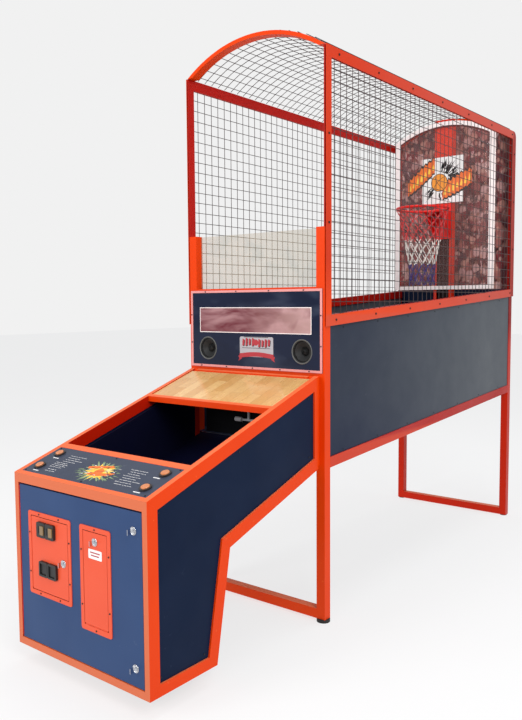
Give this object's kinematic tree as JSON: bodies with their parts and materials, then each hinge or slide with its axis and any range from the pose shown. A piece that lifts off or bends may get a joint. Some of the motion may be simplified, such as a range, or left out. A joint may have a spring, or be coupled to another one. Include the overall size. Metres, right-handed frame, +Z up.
{
  "type": "basketball hoop arcade machine",
  "caption": "Coin-operated arcade basketball game: front cabinet with ball well and deck, wire cage on leg frames, clear backboard, hoop and net.",
  "frame": {"origin": "on the floor under the middle of the machine's bounding box", "axes": "+X to the right seen from the front, +Y to the rear (front faces -Y), +Z up"},
  "size_m": [0.8456, 3.344, 2.7136],
  "materials": {
    "orange_paint": "gloss",
    "navy_panel": "satin",
    "door_paint": "satin",
    "lower_panel": "semi-gloss",
    "panel_print": "satin",
    "maple": "clear varnish",
    "well_lining": "satin",
    "black_steel": "satin",
    "zinc": "bright zinc",
    "mesh_wire": "galvanised",
    "chrome": "polished",
    "cream_plastic": "gloss",
    "black_plastic": "matte",
    "amber": "translucent",
    "pink_trim": "satin",
    "display_navy": "gloss",
    "clear_sheet": "polished",
    "crowd_print": "printed",
    "cone_black": "matte",
    "net_cord": "knotted cord",
    "rubber": "matte",
    "red_paint": "gloss",
    "ply_floor": "painted dark"
  },
  "bodies": {
    "machine": {"cabinet_frame": "orange_paint", "cabinet_side_panel_left": "navy_panel", "cabinet_side_panel_right": "navy_panel", "base_floor": "ply_floor", "back_skin": "black_steel", "levelling_feet": "rubber", "control_panel": "panel_print", "button_bezels": "cream_plastic", "ball_well": "well_lining", "maple_deck": "maple", "gate_solenoid": "zinc", "hinge_frame_leaf": "zinc", "cash_box": "zinc", "small_screws": "black_steel", "front_leg_frame": "orange_paint", "rear_leg_frame": "orange_paint", "cage_frame": "orange_paint", "cage_arches": "orange_paint", "clamp_strips": "orange_paint", "cage_bolts": "zinc", "side_mesh_left": "mesh_wire", "side_mesh_right": "mesh_wire", "roof_mesh": "mesh_wire", "lower_side_panel_left": "lower_panel", "lower_side_panel_right": "lower_panel", "rear_lower_panel": "navy_panel", "crowd_panel": "crowd_print", "ramp_floor": "lower_panel", "display_housing": "black_steel", "display_face": "display_navy", "display_bezel": "pink_trim", "speakers": "cone_black", "shield": "clear_sheet", "backboard": "clear_sheet", "hoop_column": "orange_paint", "hoop_rim": "red_paint", "hoop_net": "net_cord", "power_unit": "black_plastic"},
    "service_door": {"service_door": "door_paint", "hinge_door_leaf": "zinc", "coin_door_frame": "orange_paint", "cash_door_frame": "orange_paint", "door_screws": "zinc"},
    "coin_door": {"coin_door": "orange_paint", "coin_bezels": "black_plastic", "coin_mechs": "zinc"},
    "cash_door": {"cash_door": "orange_paint"},
    "upper_door_lock": {"upper_door_lock": "chrome"},
    "lower_door_lock": {"lower_door_lock": "chrome"},
    "coin_lock": {"coin_lock": "chrome"},
    "cash_lock": {"cash_lock": "chrome"},
    "coin_reject_left": {"coin_reject_button_left": "amber"},
    "coin_reject_right": {"coin_reject_button_right": "amber"},
    "coin_flap_left": {"coin_flap_left": "black_plastic"},
    "coin_flap_right": {"coin_flap_right": "black_plastic"},
    "ball_gate": {"ball_gate": "black_steel"},
    "player_button_1": {"player_button_1": "cream_plastic"},
    "player_button_2": {"player_button_2": "cream_plastic"},
    "player_button_3": {"player_button_3": "cream_plastic"},
    "player_button_4": {"player_button_4": "cream_plastic"}
  },
  "joints": [
    {"name": "service_door_hinge", "type": "hinge", "parent": "machine", "child": "service_door", "pos_m": [-0.362, -1.6444, 0.427], "axis": [0, 0, -1], "range_deg": [0, 110]},
    {"name": "coin_door_hinge", "type": "hinge", "parent": "service_door", "child": "coin_door", "pos_m": [-0.2806, -1.645, 0.478], "axis": [0, 0, -1], "range_deg": [0, 110]},
    {"name": "cash_door_hinge", "type": "hinge", "parent": "service_door", "child": "cash_door", "pos_m": [0.109, -1.645, 0.2706], "axis": [1, 0, 0], "range_deg": [0, 90]},
    {"name": "upper_lock_turn", "type": "hinge", "parent": "service_door", "child": "upper_door_lock", "pos_m": [0.318, -1.644, 0.673], "axis": [0, -1, 0], "range_deg": [0, 90]},
    {"name": "lower_lock_turn", "type": "hinge", "parent": "service_door", "child": "lower_door_lock", "pos_m": [0.318, -1.644, 0.176], "axis": [0, 1, 0], "range_deg": [0, 90]},
    {"name": "coin_lock_turn", "type": "hinge", "parent": "coin_door", "child": "coin_lock", "pos_m": [-0.08, -1.647, 0.47], "axis": [0, -1, 0], "range_deg": [0, 90]},
    {"name": "cash_lock_turn", "type": "hinge", "parent": "cash_door", "child": "cash_lock", "pos_m": [0.109, -1.647, 0.592], "axis": [0, -1, 0], "range_deg": [0, 90]},
    {"name": "coin_reject_left_press", "type": "slide", "parent": "coin_door", "child": "coin_reject_left", "axis": [0, 1, 0], "range_m": [0, 0.003], "stiffness_N_per_m": 300, "springref_m": -0.003},
    {"name": "coin_reject_right_press", "type": "slide", "parent": "coin_door", "child": "coin_reject_right", "axis": [0, 1, 0], "range_m": [0, 0.003], "stiffness_N_per_m": 300, "springref_m": -0.003},
    {"name": "coin_flap_left_swing", "type": "hinge", "parent": "coin_door", "child": "coin_flap_left", "pos_m": [-0.1985, -1.652, 0.444], "axis": [1, 0, 0], "range_deg": [0, 50]},
    {"name": "coin_flap_right_swing", "type": "hinge", "parent": "coin_door", "child": "coin_flap_right", "pos_m": [-0.1435, -1.652, 0.444], "axis": [1, 0, 0], "range_deg": [0, 50]},
    {"name": "ball_gate_swing", "type": "hinge", "parent": "machine", "child": "ball_gate", "pos_m": [0, -0.612, 1.055], "axis": [1, 0, 0], "range_deg": [0, 80]},
    {"name": "player_button_1_press", "type": "slide", "parent": "machine", "child": "player_button_1", "axis": [0, 0.317, -0.9484], "range_m": [0, 0.003], "stiffness_N_per_m": 300, "springref_m": -0.003},
    {"name": "player_button_2_press", "type": "slide", "parent": "machine", "child": "player_button_2", "axis": [0, 0.317, -0.9484], "range_m": [0, 0.003], "stiffness_N_per_m": 300, "springref_m": -0.003},
    {"name": "player_button_3_press", "type": "slide", "parent": "machine", "child": "player_button_3", "axis": [0, 0.317, -0.9484], "range_m": [0, 0.003], "stiffness_N_per_m": 300, "springref_m": -0.003},
    {"name": "player_button_4_press", "type": "slide", "parent": "machine", "child": "player_button_4", "axis": [0, 0.317, -0.9484], "range_m": [0, 0.003], "stiffness_N_per_m": 300, "springref_m": -0.003}
  ]
}
